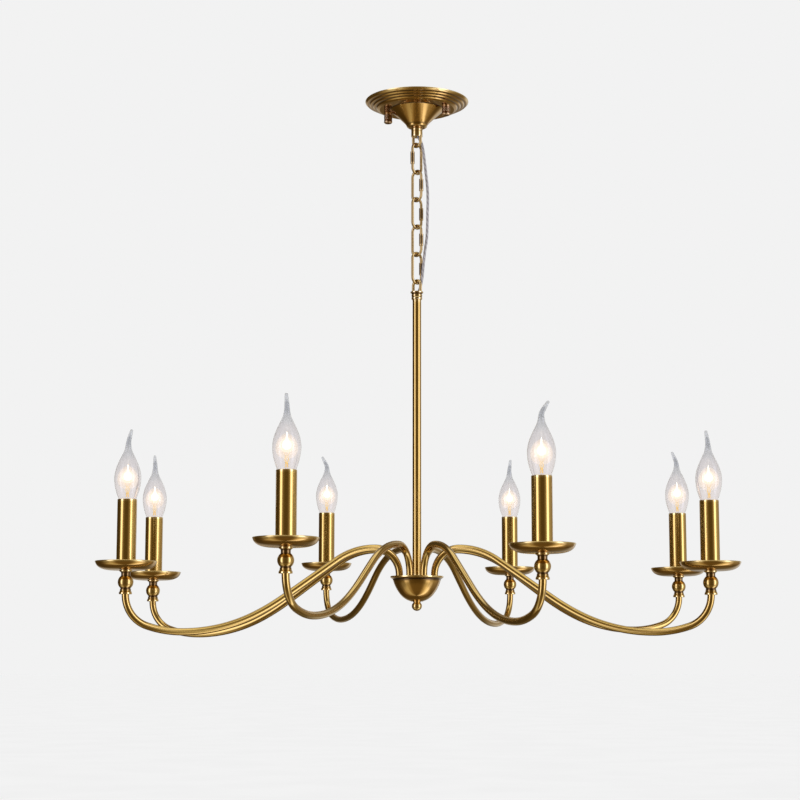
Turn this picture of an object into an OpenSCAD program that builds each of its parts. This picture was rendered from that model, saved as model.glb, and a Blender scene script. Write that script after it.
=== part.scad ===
// Eight-arm candle chandelier, hung on a short chain from a round ceiling canopy.
// Millimetres, +Z up. The origin is the centre of the canopy's open top, on the ceiling.
// X runs left to right across the object and Y runs from its front to its back.

/* [Canopy] */
// outer diameter of the canopy's rim
canopy_d = 146; // [120:1:180]
// how far the canopy hangs below the ceiling
canopy_h = 38.6; // [34:0.2:60]
// thickness of the canopy's sheet brass
canopy_wall = 1.2; // [0.8:0.1:2]
// number of stepped rings pressed into the canopy below its rim
step_count = 4; // [2:1:5]
// distance from the canopy's axis to each thumb nut
thumb_nut_reach = 45.6; // [42:0.2:48]
// direction of the thumb nuts' line, turned from the X axis
thumb_nut_turn = -26; // [-90:1:90]
// diameter of the thumb nuts
thumb_nut_d = 12; // [9:0.5:14]
// distance between the two ceiling screw holes of the bracket
ceiling_screw_spacing = 70; // [60:1:80]
// diameter of the ceiling screw holes
ceiling_screw_hole = 5; // [4:0.5:6]

/* [Chain] */
// outer length of one chain link
link_length = 47; // [40:0.5:55]
// outer width of one chain link
link_width = 21; // [16:0.5:26]
// wire diameter of a chain link
link_wire = 3.8; // [3:0.1:5]
// wire diameter of the loops at the two ends of the chain
loop_wire = 4; // [3:0.1:5]
// distance between the middles of a loop's two legs
loop_span = 14; // [12:0.5:18]
// diameter of the collars that carry the loops
collar_d = 16; // [14:0.5:18]
// diameter of the lamp cord beside the chain
cord_d = 3.8; // [3:0.1:5]

/* [Stem and hub] */
// diameter of the straight stem
stem_d = 12; // [9:0.5:14]
// height of the hub bowl's rim below the ceiling
hub_drop = 670.6; // [550:0.2:800]
// diameter of the hub bowl's flared lip
hub_d = 72.6; // [64:0.2:90]
// depth of the hub bowl
hub_h = 34.5; // [25:0.5:45]
// diameter of the ball finial
finial_d = 14; // [10:0.5:18]

/* [Arms] */
// diameter of the arm tube
arm_d = 9.5; // [8:0.1:12]
// wall of the arm tube
arm_wall = 1; // [0.8:0.1:1.5]
// radius of the circle on which the arms leave the hub
arm_root_r = 26; // [25:0.1:27]
// radius of the circle on which the candles stand
candle_circle_r = 409; // [380:1:440]
// height of an arm's crest above the hub's rim
crest_rise = 37; // [30:1:45]
// slope of an arm's long straight stretch
arm_slope = 34; // [32:1:36]
// height of the side drip pans' rims above the hub's rim
side_pan_rise = 14; // [8:1:18]
// how much higher the front and back pans stand than the side pans
end_pan_lift = 15; // [0:1:18]
// how much higher the front and back arms' crests are than the side arms'
end_crest_lift = 3; // [0:0.5:4]
// direction of the side arms from the X axis
side_arm_turn = 22.5; // [20:0.5:25]
// direction of the front and back arms from the X axis
end_arm_turn = 69; // [65:0.5:72]

/* [Candles] */
// diameter of a drip pan
pan_d = 79; // [70:1:90]
// depth of a drip pan
pan_h = 12; // [8:0.5:16]
// outer diameter of a candle sleeve
sleeve_d = 25; // [22:0.5:28]
// height of a candle sleeve's top above the pan's rim
sleeve_rise = 79; // [60:1:100]
// largest diameter of a bulb
bulb_d = 34.2; // [32:0.2:38]
// length of a bulb's glass above the sleeve
bulb_h = 91; // [75:1:95]

/* [Hidden] */
$fn = 48;
arms = [1:8];
gap = 0.05;               // clearance of a face that touches a curved one

// canopy heights, measured down from the ceiling
rim_h = 1.3;
step_in = 4.8;            // each ring is this much narrower than the one above
step_down = 2.35;         // and sits this much lower
riser_in = 1.4;
shelf_z = -12.2;          // the flat shelf that carries the thumb nuts
shelf_r = 38.5;
neck_r = 15;
bell_hollow = 1.15;
bell_foot = 4.1;          // the bell turns in towards the collar over this height
bell_end_r = neck_r - 3.6;
stud_d = 4;
bracket_t = 2;
bracket_r = 42;
bracket_slot_d = 12;

// loop and chain heights
collar_h = 13;
collar_z = -canopy_h - collar_h;
nipple_r = 4.9;
wire_bore_r = 2.7;
wire_mouth_r = 4.8;       // the bores flare towards the chain, so that the cord isn't pinched
wire_mouth_h = 6;
loop_r = loop_span / 2;
loop_leg = 7;
canopy_loop_z = collar_z - loop_leg - loop_r;     // middle of the wire at the bottom
link_r = (link_width - link_wire) / 2;
link_reach = link_length - link_wire;             // top wire to bottom wire
first_link_z = canopy_loop_z + (loop_wire + link_wire) / 2 + gap;
link_pitch = link_reach - link_wire - gap;
chain_links = 5;
chain_turn = 45;
link_sleeve_d = 6;
link_sleeve_h = 17.5;
stem_loop_z = first_link_z - (chain_links - 1) * link_pitch - link_reach
            + (loop_wire + link_wire) / 2 + gap;
stem_loop_leg = 9;
stem_collar_z = stem_loop_z - loop_r - stem_loop_leg;
stem_collar_h = 11.5;
stem_top_z = stem_collar_z - stem_collar_h;

// hub: a plate in the mouth of the bowl carries the arms
hub_z = -hub_drop;
plate_t = 4;
plate_r = 31;
plate_drop = 0.5;
spigot_r = 2.8;
spigot_h = plate_t + 4.2;
tie_rod_r = 4;
bowl_wall = 1.5;
bowl_z = hub_z - hub_h;
nut_h = 3.5;

// arm path, in the arm's own plane: x is the distance from the stem and z the height
side_rise_r = 35;
end_rise_r = 37.5;
middle_r = 320;           // where the slope starts to ease
easing = 8;               // degrees that it eases by there
lower_r = 230;
belly_r = 150;
belly_turn = 18;
hook_r = 42;
arm_trim = [-0.7, 0, -0.6, 1.5, 1.9, -1, 0, 0];   // how far each arm stands off its even place
pan_trim = [4.4, 1, 7.5, -1.8, -1.6, 0.7, -6.5, -1.9];   // and how far each pan is off its even height
joint_step = 0.05;        // neighbouring tube lengths differ by this much in radius
joint_lap = 0.6;          // and push this far into each other

// cup below a pan, measured down from the pan's rim
cup_neck_r = 5.9;
cup_ball_r = 10;
cup_ball_z = -27;
cup_lip_r = 8.25;
cup_bottom = 42.5;
cup_socket = 6.5;
cup_nipple_r = 4.75;
cup_nipple_h = 8;

// candle, measured up from the pan's rim
pan_wall = 1.2;
pan_floor = -pan_h + pan_wall;
sleeve_wall = 1;
holder_r = sleeve_d / 2 - sleeve_wall - 0.2;
cap_r = 6.9;
cap_h = 22;
cap_top = sleeve_rise - 12;
holder_top = cap_top - 2;
glass_wall = 0.9;
glass_foot_r = 6.5;

// lamp cord: from the canopy's collar, down the chain's right side, into the stem's collar
cord_route = [
  [0, 0, -37.6], [0, 0, -44.6], [1.6, 0.6, -50.6], [4.6, 1, -56.1], [7.2, 0.8, -62.6],
  [9, 0.5, -71.6], [10.8, 0.1, -86.6], [13, 0, -106.6], [14.9, 0, -125.6], [15.4, 0, -143.6],
  [14.9, 0, -161.6], [14.6, 0, -180.6], [13.8, 0, -198.6], [11.6, 0, -213.6], [9.8, 0, -229.6],
  [8.6, 0, -242.6], [7.6, 0.2, -252.6], [6.2, 0.4, -261.6], [4.4, 0.6, -269.1], [2.2, 0.4, -275.1],
  [0.7, 0.2, -279.6], [0, 0, -285.6]
];
cord_steps = 3;           // rings on each stretch of the route
cord_sides = 8;

brass = [0.66, 0.50, 0.24];
dark_brass = [0.45, 0.31, 0.14];
steel = [0.62, 0.63, 0.65];
glass = [0.95, 0.90, 0.78, 0.35];
white = [0.93, 0.92, 0.88];
clear_grey = [0.72, 0.72, 0.70];

// ---- helpers ----

// true for the four arms that reach towards the front and the back
function is_end_arm(i) = (i % 4 == 2) || (i % 4 == 3);
// direction of arm i, counted round from the back right
function arm_turn(i) =
  let (quarter = [side_arm_turn, end_arm_turn, 180 - end_arm_turn, 180 - side_arm_turn])
  (i <= 4 ? quarter[i - 1] : quarter[i - 5] + 180) + arm_trim[i - 1];
// height of arm i's pan rim
function pan_z(i) =
  hub_z + side_pan_rise + (is_end_arm(i) ? end_pan_lift : 0) + pan_trim[i - 1];

// direction and side step of each bulb's bent tip
function tail_turn(i) = [180, 20, 190, 120, 20, 250, 5, 200][i - 1];
function tail_bend(i) = [11, 4, 14, 5, 7, 5, 16, 5][i - 1];

module on_arm(i) {
  rotate([0, 0, arm_turn(i)]) children();
}

module at_candle(i) {
  on_arm(i) translate([candle_circle_r, 0, pan_z(i)]) children();
}

module ring(outer_r, inner_r) {
  difference() {
    circle(r = outer_r);
    circle(r = inner_r);
  }
}

module tube(outer_r, inner_r, h) {
  linear_extrude(h) ring(outer_r, inner_r);
}

// a bent length of tube in the XZ plane, round a centre at the origin
module bend(radius, from, to, outer_r, inner_r) {
  rotate([90, 0, 0]) rotate([0, 0, from])
    rotate_extrude(angle = to - from, $fn = 96) translate([radius, 0]) ring(outer_r, inner_r);
}

// ---- canopy ----

function step_points() = [
  for (i = [0:step_count - 1])
    let (r = canopy_d / 2 - 1 - i * step_in, z = -rim_h - 0.8 - i * step_down)
    each [[r, z], [r - riser_in, z - step_down + 0.7]]
];
step_end_r = canopy_d / 2 - 1 - step_count * step_in;

// the bell's outer line: a slightly hollow cone from the shelf down to the neck
function bell_points() = [
  for (t = [0:0.125:1])
    [neck_r + (shelf_r - neck_r) * pow(1 - t, bell_hollow),
     shelf_z - (canopy_h + shelf_z - bell_foot) * t]
];

module canopy_outline() {
  polygon(concat(
    [[0, 0], [canopy_d / 2, 0], [canopy_d / 2, -rim_h]],
    step_points(),
    [[step_end_r, shelf_z]],
    bell_points(),
    [[neck_r - canopy_wall, -canopy_h + canopy_wall], [bell_end_r, -canopy_h], [0, -canopy_h]]
  ));
}

module canopy() {
  color(brass) difference() {
    rotate_extrude() difference() {
      canopy_outline();
      translate([-canopy_wall, canopy_wall]) canopy_outline();
    }
    translate([0, 0, -canopy_h - 1]) cylinder(r = nipple_r + gap, h = 5);
    for (side = [0, 180]) rotate([0, 0, thumb_nut_turn + side])
      translate([thumb_nut_reach, 0, shelf_z - 1]) cylinder(d = stud_d + 0.6, h = 4);
  }
}

module ceiling_bracket() {
  color(steel) translate([0, 0, -bracket_t]) difference() {
    union() {
      cylinder(r = bracket_r, h = bracket_t);
      rotate([0, 0, thumb_nut_turn])
        translate([-thumb_nut_reach - 5, -7, 0]) cube([2 * thumb_nut_reach + 10, 14, bracket_t]);
    }
    translate([0, 0, -1]) cylinder(d = bracket_slot_d, h = bracket_t + 2);
    for (side = [-1, 1]) translate([side * ceiling_screw_spacing / 2, 0, -1])
      cylinder(d = ceiling_screw_hole, h = bracket_t + 2);
    for (side = [0, 180]) rotate([0, 0, thumb_nut_turn + side])
      translate([thumb_nut_reach, 0, -1]) cylinder(d = stud_d, h = bracket_t + 2);
  }
}

module bracket_studs() {
  stud_h = 10.5 - shelf_z;    // ends inside the thumb nuts' caps
  color(steel) for (side = [0, 180]) rotate([0, 0, thumb_nut_turn + side])
    translate([thumb_nut_reach, 0, -stud_h]) cylinder(d = stud_d, h = stud_h);
}

// a turned nut: a short waist between a thin washer and a grooved cap
module thumb_nut(side) {
  nut_r = thumb_nut_d / 2;
  waist_r = nut_r * 0.88;
  washer_h = 1.4;
  waist_h = 4.6;
  cap_z = -14;
  grooves = 14;
  color(dark_brass) rotate([0, 0, thumb_nut_turn + side])
    translate([thumb_nut_reach, 0, shelf_z - gap]) difference() {
      rotate_extrude() difference() {
        polygon([
          [0, 0], [nut_r - 0.4, 0], [nut_r - 0.4, -washer_h], [waist_r, -washer_h - 0.9],
          [waist_r, -waist_h], [nut_r, -waist_h - 1.2], [nut_r, cap_z + 1.2],
          [nut_r - 1.4, cap_z], [0, cap_z]
        ]);
        translate([-1, cap_z + 3]) square([stud_d / 2 + gap + 1, 20]);
      }
      for (g = [1:grooves]) rotate([0, 0, g * 360 / grooves])
        translate([nut_r + 0.35, 0, cap_z - 1]) cylinder(r = 0.8, h = 9.5, $fn = 16);
    }
}

module thumb_nut_left() {
  thumb_nut(180);
}

module thumb_nut_right() {
  thumb_nut(0);
}

// ---- chain ----

// a U of wire: two straight legs and a half ring, its open ends at z = 0
module wire_loop(leg) {
  inset = 1.5;            // the legs reach this far into their collar
  for (side = [-1, 1]) translate([side * loop_r, 0, 0]) translate([0, 0, -leg])
    cylinder(d = loop_wire, h = leg + inset);
  translate([0, 0, -leg]) rotate([90, 0, 0]) rotate([0, 0, 180])
    rotate_extrude(angle = 180, $fn = 96) translate([loop_r, 0]) circle(d = loop_wire - 0.02);
}

module canopy_loop() {
  color(brass) difference() {
    union() {
      translate([0, 0, collar_z]) rotate_extrude() polygon([
        [0, 0], [collar_d / 2, 0], [collar_d / 2, collar_h], [nipple_r, collar_h],
        [nipple_r, collar_h + 5.2], [0, collar_h + 5.2]
      ]);
      rotate([0, 0, -chain_turn]) translate([0, 0, collar_z]) wire_loop(loop_leg);
      // the flange nut that holds the loop in the canopy
      translate([0, 0, -canopy_h + canopy_wall]) cylinder(r = bell_end_r - 1.4, h = 3.6, $fn = 6);
    }
    translate([0, 0, collar_z - 1]) cylinder(r = wire_bore_r, h = collar_h + 8);
    translate([0, 0, collar_z - 0.01])
      cylinder(r1 = wire_mouth_r, r2 = wire_bore_r - 0.1, h = wire_mouth_h);
  }
}

// an oval of wire with a small tubular sleeve half way down one side
module chain_link(i) {
  turn = i % 2 == 1 ? chain_turn : -chain_turn;
  sleeve_side = i == 1 ? -1 : 1;
  straight = link_reach - 2 * link_r;
  color(brass) translate([0, 0, first_link_z - (i - 1) * link_pitch]) rotate([0, 0, turn]) {
    translate([0, 0, -link_r]) half_link(0);
    translate([0, 0, -link_r - straight]) half_link(180);
    for (side = [-1, 1]) translate([side * link_r, 0, -link_r - straight])
      cylinder(d = link_wire, h = straight);
    translate([sleeve_side * link_r, 0, -(link_reach + link_sleeve_h) / 2])
      cylinder(d = link_sleeve_d, h = link_sleeve_h);
  }
}

module half_link(from) {
  lap = 2;
  rotate([90, 0, 0]) rotate([0, 0, from - lap])
    rotate_extrude(angle = 180 + 2 * lap, $fn = 96)
      translate([link_r, 0]) circle(d = link_wire - 0.04);
}

module stem_loop() {
  ribs = 3;
  rib_pitch = stem_collar_h / ribs;
  bore_h = 16;
  color(brass) difference() {
    union() {
      translate([0, 0, stem_collar_z - stem_collar_h])
        cylinder(d = collar_d - 2.2, h = stem_collar_h);
      for (r = [0:ribs - 1]) translate([0, 0, stem_collar_z - (r + 1) * rib_pitch + 0.6])
        cylinder(d = collar_d - 1, h = rib_pitch - 1.4);
      translate([0, 0, stem_collar_z - 2.2]) cylinder(r = loop_r + loop_wire / 2, h = 2.2);
      rotate([0, 0, -chain_turn]) translate([0, 0, stem_collar_z]) mirror([0, 0, 1])
        wire_loop(stem_loop_leg);
    }
    translate([0, 0, stem_collar_z - bore_h]) cylinder(r = wire_bore_r, h = bore_h + 1);
    translate([0, 0, stem_collar_z + 0.01 - wire_mouth_h])
      cylinder(r1 = wire_bore_r - 0.1, r2 = wire_mouth_r, h = wire_mouth_h);
  }
}

// ---- lamp cord ----

// a smooth curve through four route points, at t between the middle two
function blend_point(a, b, c, d, t) =
  (2 * b + (c - a) * t + (2 * a - 5 * b + 4 * c - d) * t * t
   + (3 * b - a - 3 * c + d) * t * t * t) / 2;

function cord_line() = let (last = len(cord_route) - 1) [
  for (i = [0:last - 1], s = [0:cord_steps - 1])
    blend_point(cord_route[max(i - 1, 0)], cord_route[i], cord_route[i + 1],
                cord_route[min(i + 2, last)], s / cord_steps),
  cord_route[last]
];

function unit(v) = v / norm(v);

// points of a round sweep along a line that never runs along the Y axis
function sweep_points(line, r, sides) = [
  for (i = [0:len(line) - 1])
    let (
      along = unit(line[min(i + 1, len(line) - 1)] - line[max(i - 1, 0)]),
      u = unit(cross([0, 1, 0], along)),
      v = cross(along, u)
    )
    for (s = [0:sides - 1])
      line[i] + r * (cos(s * 360 / sides) * u + sin(s * 360 / sides) * v)
];

function sweep_faces(rings, sides) = concat(
  [[for (s = [0:sides - 1]) s]],
  [for (i = [0:rings - 2], s = [0:sides - 1])
    [i * sides + s, (i + 1) * sides + s, (i + 1) * sides + (s + 1) % sides,
     i * sides + (s + 1) % sides]],
  [[for (s = [sides - 1:-1:0]) (rings - 1) * sides + s]]
);

module power_cord() {
  line = cord_line();
  color(clear_grey) polyhedron(
    points = sweep_points(line, cord_d / 2, cord_sides),
    faces = sweep_faces(len(line), cord_sides),
    convexity = 4
  );
}

// ---- stem and hub ----

module stem() {
  bore_r = 3.2;
  rod_end = bowl_z - 7;
  color(brass) difference() {
    union() {
      translate([0, 0, hub_z - plate_drop]) cylinder(d = stem_d, h = stem_top_z - hub_z + plate_drop);
      translate([0, 0, rod_end]) cylinder(r = tie_rod_r, h = hub_z - rod_end);
    }
    translate([0, 0, hub_z]) cylinder(r = bore_r, h = stem_top_z - hub_z + 1);
    // the wires cross from the stem into the arms through this slot
    translate([-stem_d, -2, hub_z - 16]) cube([2 * stem_d, 4, 8]);
    translate([0, 0, hub_z - 16]) cylinder(r = 2, h = 20);
  }
}

module hub_plate() {
  color(brass) translate([0, 0, hub_z - plate_drop - plate_t]) difference() {
    cylinder(r = plate_r, h = plate_t);
    translate([0, 0, -1]) cylinder(r = tie_rod_r + gap, h = plate_t + 2);
    for (i = arms) on_arm(i) translate([arm_root_r, 0, -1])
      cylinder(r = spigot_r + gap, h = plate_t + 2);
  }
}

// the bowl's line below its band, as shares of the band's radius and of the depth
bowl_curve = [
  [1, 0], [0.965, 0.13], [0.915, 0.27], [0.855, 0.41], [0.775, 0.56], [0.675, 0.71], [0.555, 0.84],
  [0.42, 0.94]
];
function bowl_points(r, z, h) = [for (p = bowl_curve) [r * p[0], z - h * p[1]]];

module hub_bowl() {
  lip_r = hub_d / 2;
  band_r = lip_r - 3.4;
  band_z = hub_z - 5;
  inner_r = plate_r + gap;
  ledge_z = hub_z - plate_drop - plate_t;
  foot_r = 9;
  color(brass) rotate_extrude() difference() {
    polygon(concat(
      [[0, hub_z], [lip_r, hub_z], [lip_r, hub_z - 2], [lip_r - 0.6, hub_z - 2.5],
       [lip_r - 2.9, hub_z - 3.8], [band_r + 0.2, band_z]],
      bowl_points(band_r, band_z - 0.6, hub_h - 6),
      [[foot_r, bowl_z + 0.4], [foot_r - 1, bowl_z], [0, bowl_z]]
    ));
    translate([0, ledge_z]) square([inner_r, plate_t + plate_drop + 1]);
    polygon(concat(
      [[0, ledge_z + 1], [plate_r - 0.5, ledge_z + 1], [plate_r - 0.5, band_z - 0.6]],
      bowl_points(band_r - bowl_wall - 0.9, band_z - 0.6, hub_h - 6 - bowl_wall),
      [[0, bowl_z + bowl_wall + 0.6]]
    ));
    translate([0, bowl_z - 1]) square([tie_rod_r + gap, hub_h]);
  }
}

module arm_nuts() {
  nut_r = 4.1;
  color(steel) for (i = arms) on_arm(i)
    translate([arm_root_r, 0, hub_z - plate_drop - plate_t - nut_h]) difference() {
      rotate([0, 0, 30]) cylinder(r = nut_r, h = nut_h, $fn = 6);
      translate([0, 0, -1]) cylinder(r = spigot_r + gap, h = nut_h + 2);
    }
}

module finial() {
  ball_r = finial_d / 2;
  neck_h = 1.2;
  squash = 0.94;          // the ball is a little flatter than a sphere
  color(brass) rotate_extrude() difference() {
    polygon(concat(
      [[0, bowl_z], [ball_r - 1.6, bowl_z], [ball_r - 1.6, bowl_z - neck_h]],
      [for (a = [40:-10:-90])
        [ball_r * cos(a), bowl_z - ball_r * squash * (1 - sin(a)) + 0.3]]
    ));
    translate([0, bowl_z - 7.3]) square([tie_rod_r + gap, 10]);
  }
}

// ---- arms ----

// Seven lengths of tube, laid end to end from the hub to the cup. Every second length is
// narrower by joint_step, and its ends push into its neighbours, as brazed tube does.
module arm(i) {
  wide = arm_d / 2;
  slim = wide - joint_step;
  wide_bore = wide - arm_wall;
  slim_bore = slim - arm_wall + 2 * joint_step;
  low_slope = arm_slope - easing;

  // the hook's centre and the points where the bends meet, worked back from the cup
  hook_x = candle_circle_r - hook_r;
  hook_z = pan_z(i) - cup_bottom;
  belly_x = hook_x + (hook_r - belly_r) * sin(belly_turn);
  belly_z = hook_z - (hook_r - belly_r) * cos(belly_turn);
  lower_z = belly_z - belly_r + lower_r;
  middle_x = belly_x - (lower_r - middle_r) * sin(low_slope);
  middle_z = lower_z - (lower_r - middle_r) * cos(low_slope);
  slope_x = middle_x - middle_r * sin(arm_slope);
  slope_z = middle_z - middle_r * cos(arm_slope);

  // the bend after the crest has the radius that lands on the slope
  rise_r = is_end_arm(i) ? end_rise_r : side_rise_r;
  crest_x = arm_root_r + rise_r;
  crest_z = hub_z + crest_rise + (is_end_arm(i) ? end_crest_lift : 0);
  fall_r = ((slope_x - crest_x) * tan(arm_slope) - crest_z + slope_z)
         / (1 / cos(arm_slope) - 1);
  slope_length = (slope_x - crest_x - fall_r * sin(arm_slope)) / cos(arm_slope);
  rise_z = crest_z - rise_r;
  root_z = hub_z - plate_drop;

  function lap(radius) = joint_lap * 180 / (PI * radius);

  color(brass) on_arm(i) {
    translate([arm_root_r, 0, root_z]) arm_root(rise_z - root_z, wide, wide_bore);
    translate([crest_x, 0, rise_z])
      bend(rise_r, 90 - lap(rise_r), 180 + lap(rise_r), slim, slim_bore);
    translate([crest_x, 0, crest_z - fall_r])
      bend(fall_r, 90 - arm_slope, 90, wide, wide_bore);
    translate([slope_x, 0, slope_z]) rotate([0, arm_slope - 90, 0])
      translate([0, 0, -joint_lap]) tube(slim, slim_bore, slope_length + 2 * joint_lap);
    translate([middle_x, 0, middle_z])
      bend(middle_r, 270 - arm_slope, 270 - low_slope, wide, wide_bore);
    translate([belly_x, 0, lower_z])
      bend(lower_r, 270 - low_slope - lap(lower_r), 270 + lap(lower_r), slim, slim_bore);
    translate([belly_x, 0, belly_z])
      bend(belly_r, 270, 270 + belly_turn, wide, wide_bore);
    translate([hook_x, 0, hook_z])
      bend(hook_r, 270 + belly_turn - lap(hook_r), 360 + lap(hook_r), slim, slim_bore);
    translate([candle_circle_r, 0, hook_z]) tube(wide, wide_bore, cup_socket - gap);
  }
}

// the arm's straight foot, with the threaded spigot that goes through the hub's plate
module arm_root(h, tube_r, bore_r) {
  wire_r = spigot_r - 1;
  floor_h = 2;
  rotate_extrude() polygon([
    [wire_r, -spigot_h], [spigot_r, -spigot_h], [spigot_r, 0], [tube_r, 0], [tube_r, h],
    [bore_r, h], [bore_r, floor_h], [wire_r, floor_h]
  ]);
}

module arm_cups() {
  color(brass) for (i = arms) at_candle(i) arm_cup();
}

// a turned cup: flared foot, waist, ball and neck, with a nipple that goes up into the holder
module arm_cup() {
  wire_r = 3;
  shoulder_z = cup_ball_z + 8;
  waist_z = cup_ball_z - 7.6;
  difference() {
    union() {
      rotate_extrude() polygon([
        [0, cup_nipple_h - pan_h], [cup_nipple_r, cup_nipple_h - pan_h], [cup_nipple_r, -pan_h],
        [cup_lip_r, -pan_h], [cup_lip_r, -pan_h - 1.6], [cup_neck_r + 0.6, -pan_h - 2.6],
        [cup_neck_r, -pan_h - 4.5], [cup_neck_r, -pan_h - 5.6], [cup_neck_r + 0.9, shoulder_z],
        [0, shoulder_z]
      ]);
      translate([0, 0, cup_ball_z]) sphere(r = cup_ball_r);
      rotate_extrude() polygon([
        [0, waist_z], [6.9, waist_z], [6.9, waist_z - 1.2], [7.4, waist_z - 3.4],
        [cup_lip_r, waist_z - 5.6], [cup_lip_r, -cup_bottom], [0, -cup_bottom]
      ]);
    }
    translate([0, 0, -cup_bottom - 1]) cylinder(r = wire_r, h = cup_bottom + 2);
    translate([0, 0, -cup_bottom - 1]) cylinder(r = arm_d / 2 + gap, h = cup_socket + 1);
  }
}

// ---- candles ----

// outer line of a drip pan, from its middle out to its rim
function pan_line(r, h) = [
  for (a = [0:10:90]) [r * (0.44 + 0.56 * sin(a)), -h + h * pow(1 - cos(a), 1.15)]
];

module drip_pan(i) {
  pan_r = pan_d / 2;
  rim_bead_r = 1;
  hole_r = cup_nipple_r + gap;
  color(brass) at_candle(i) rotate_extrude() {
    difference() {
      polygon(concat([[hole_r, 0], [hole_r, -pan_h]], pan_line(pan_r - 0.3, pan_h)));
      polygon(concat([[0, 1], [0, pan_floor]],
                     pan_line(pan_r - 0.3 - pan_wall, pan_h - pan_wall),
                     [[pan_r - 0.3 - pan_wall, 1]]));
    }
    translate([pan_r - rim_bead_r, -rim_bead_r]) circle(r = rim_bead_r, $fn = 24);
  }
}

// a cream porcelain holder: it screws on the cup's nipple and takes the bulb's cap
module lamp_holders() {
  floor_h = 10;
  color(white) for (i = arms) at_candle(i) translate([0, 0, pan_floor]) difference() {
    cylinder(r = holder_r, h = holder_top - pan_floor);
    translate([0, 0, -1]) cylinder(r = cup_nipple_r + gap, h = floor_h + 1);
    translate([0, 0, cap_top - cap_h - pan_floor]) cylinder(r = cap_r + gap, h = 60);
  }
}

module candle_sleeve(i) {
  color(brass) at_candle(i) translate([0, 0, pan_floor])
    tube(sleeve_d / 2, sleeve_d / 2 - sleeve_wall, sleeve_rise - pan_floor);
}

// the bulb's screw cap, with the glass stem and the two wires that hold the filament
module bulb_base(i) {
  contact_h = 2;
  stem_glass_h = 22;
  wire_r = 0.45;
  filament_z = cap_top + 52;
  color(brass) at_candle(i) {
    translate([0, 0, cap_top - cap_h]) cylinder(r = cap_r - 2.5, h = contact_h);
    translate([0, 0, cap_top - cap_h + contact_h]) cylinder(r = cap_r, h = cap_h - contact_h - 0.05);
    translate([0, 0, cap_top - 1]) cylinder(r1 = 4.2, r2 = 2, h = stem_glass_h);
    for (side = [-1, 1]) translate([side * 1.2, 0, cap_top + stem_glass_h - 3])
      cylinder(r = wire_r, h = filament_z - cap_top - stem_glass_h + 3, $fn = 16);
    translate([-1.2, 0, filament_z]) rotate([0, 90, 0]) cylinder(r = wire_r, h = 2.4, $fn = 16);
  }
}

// outer line of the glass from its foot to where the tail starts to bend
function glass_line(r, foot_r, inset) = [
  [foot_r, cap_top], [foot_r + 1.4, cap_top + 4],
  [0.66 * r, sleeve_rise + 0.5], [0.82 * r, sleeve_rise + 8],
  [0.94 * r, sleeve_rise + 16.5], [r, sleeve_rise + 25.7], [0.965 * r, sleeve_rise + 34],
  [0.82 * r, sleeve_rise + 43.2], [0.565 * r, sleeve_rise + 53 - inset],
  [0.33 * r, sleeve_rise + 61 - inset]
];

// clear glass, with a drawn-out tip that bends to one side like a flame
module bulb(i) {
  r = bulb_d / 2;
  tail = [4.3, 2.9, 2.2, 1.3];            // radii along the tip
  tail_z = sleeve_rise + 64;
  tail_step = (bulb_h - 64) / 3;
  bend_by = tail_bend(i);
  color(glass) at_candle(i) {
    rotate_extrude() polygon(concat(
      glass_line(r, glass_foot_r, 0),
      [[tail[0], tail_z], [0, tail_z], [0, sleeve_rise + 61]],
      [for (k = [9:-1:0]) glass_line(r - glass_wall, glass_foot_r - glass_wall, 0.8)[k]]
    ));
    rotate([0, 0, tail_turn(i) - arm_turn(i)]) translate([0, 0, tail_z]) {
      translate([0, 0, -0.4]) cylinder(r1 = tail[0], r2 = tail[1], h = tail_step + 0.4);
      translate([0, 0, tail_step]) {
        sphere(r = tail[1] + 0.05);
        rotate([0, bend_by, 0]) {
          cylinder(r1 = tail[1], r2 = tail[2], h = tail_step);
          translate([0, 0, tail_step]) {
            sphere(r = tail[2] + 0.05);
            rotate([0, bend_by, 0]) {
              cylinder(r1 = tail[2], r2 = tail[3], h = tail_step - tail[3]);
              translate([0, 0, tail_step - tail[3]]) sphere(r = tail[3] + 0.05);
            }
          }
        }
      }
    }
  }
}

ceiling_bracket();
bracket_studs();
canopy();
thumb_nut_left();
thumb_nut_right();
canopy_loop();
for (i = [1:chain_links]) chain_link(i);
stem_loop();
power_cord();
stem();
hub_plate();
hub_bowl();
arm_nuts();
finial();
for (i = arms) arm(i);
arm_cups();
for (i = arms) drip_pan(i);
lamp_holders();
for (i = arms) candle_sleeve(i);
for (i = arms) bulb_base(i);
for (i = arms) bulb(i);
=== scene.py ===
import math

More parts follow.
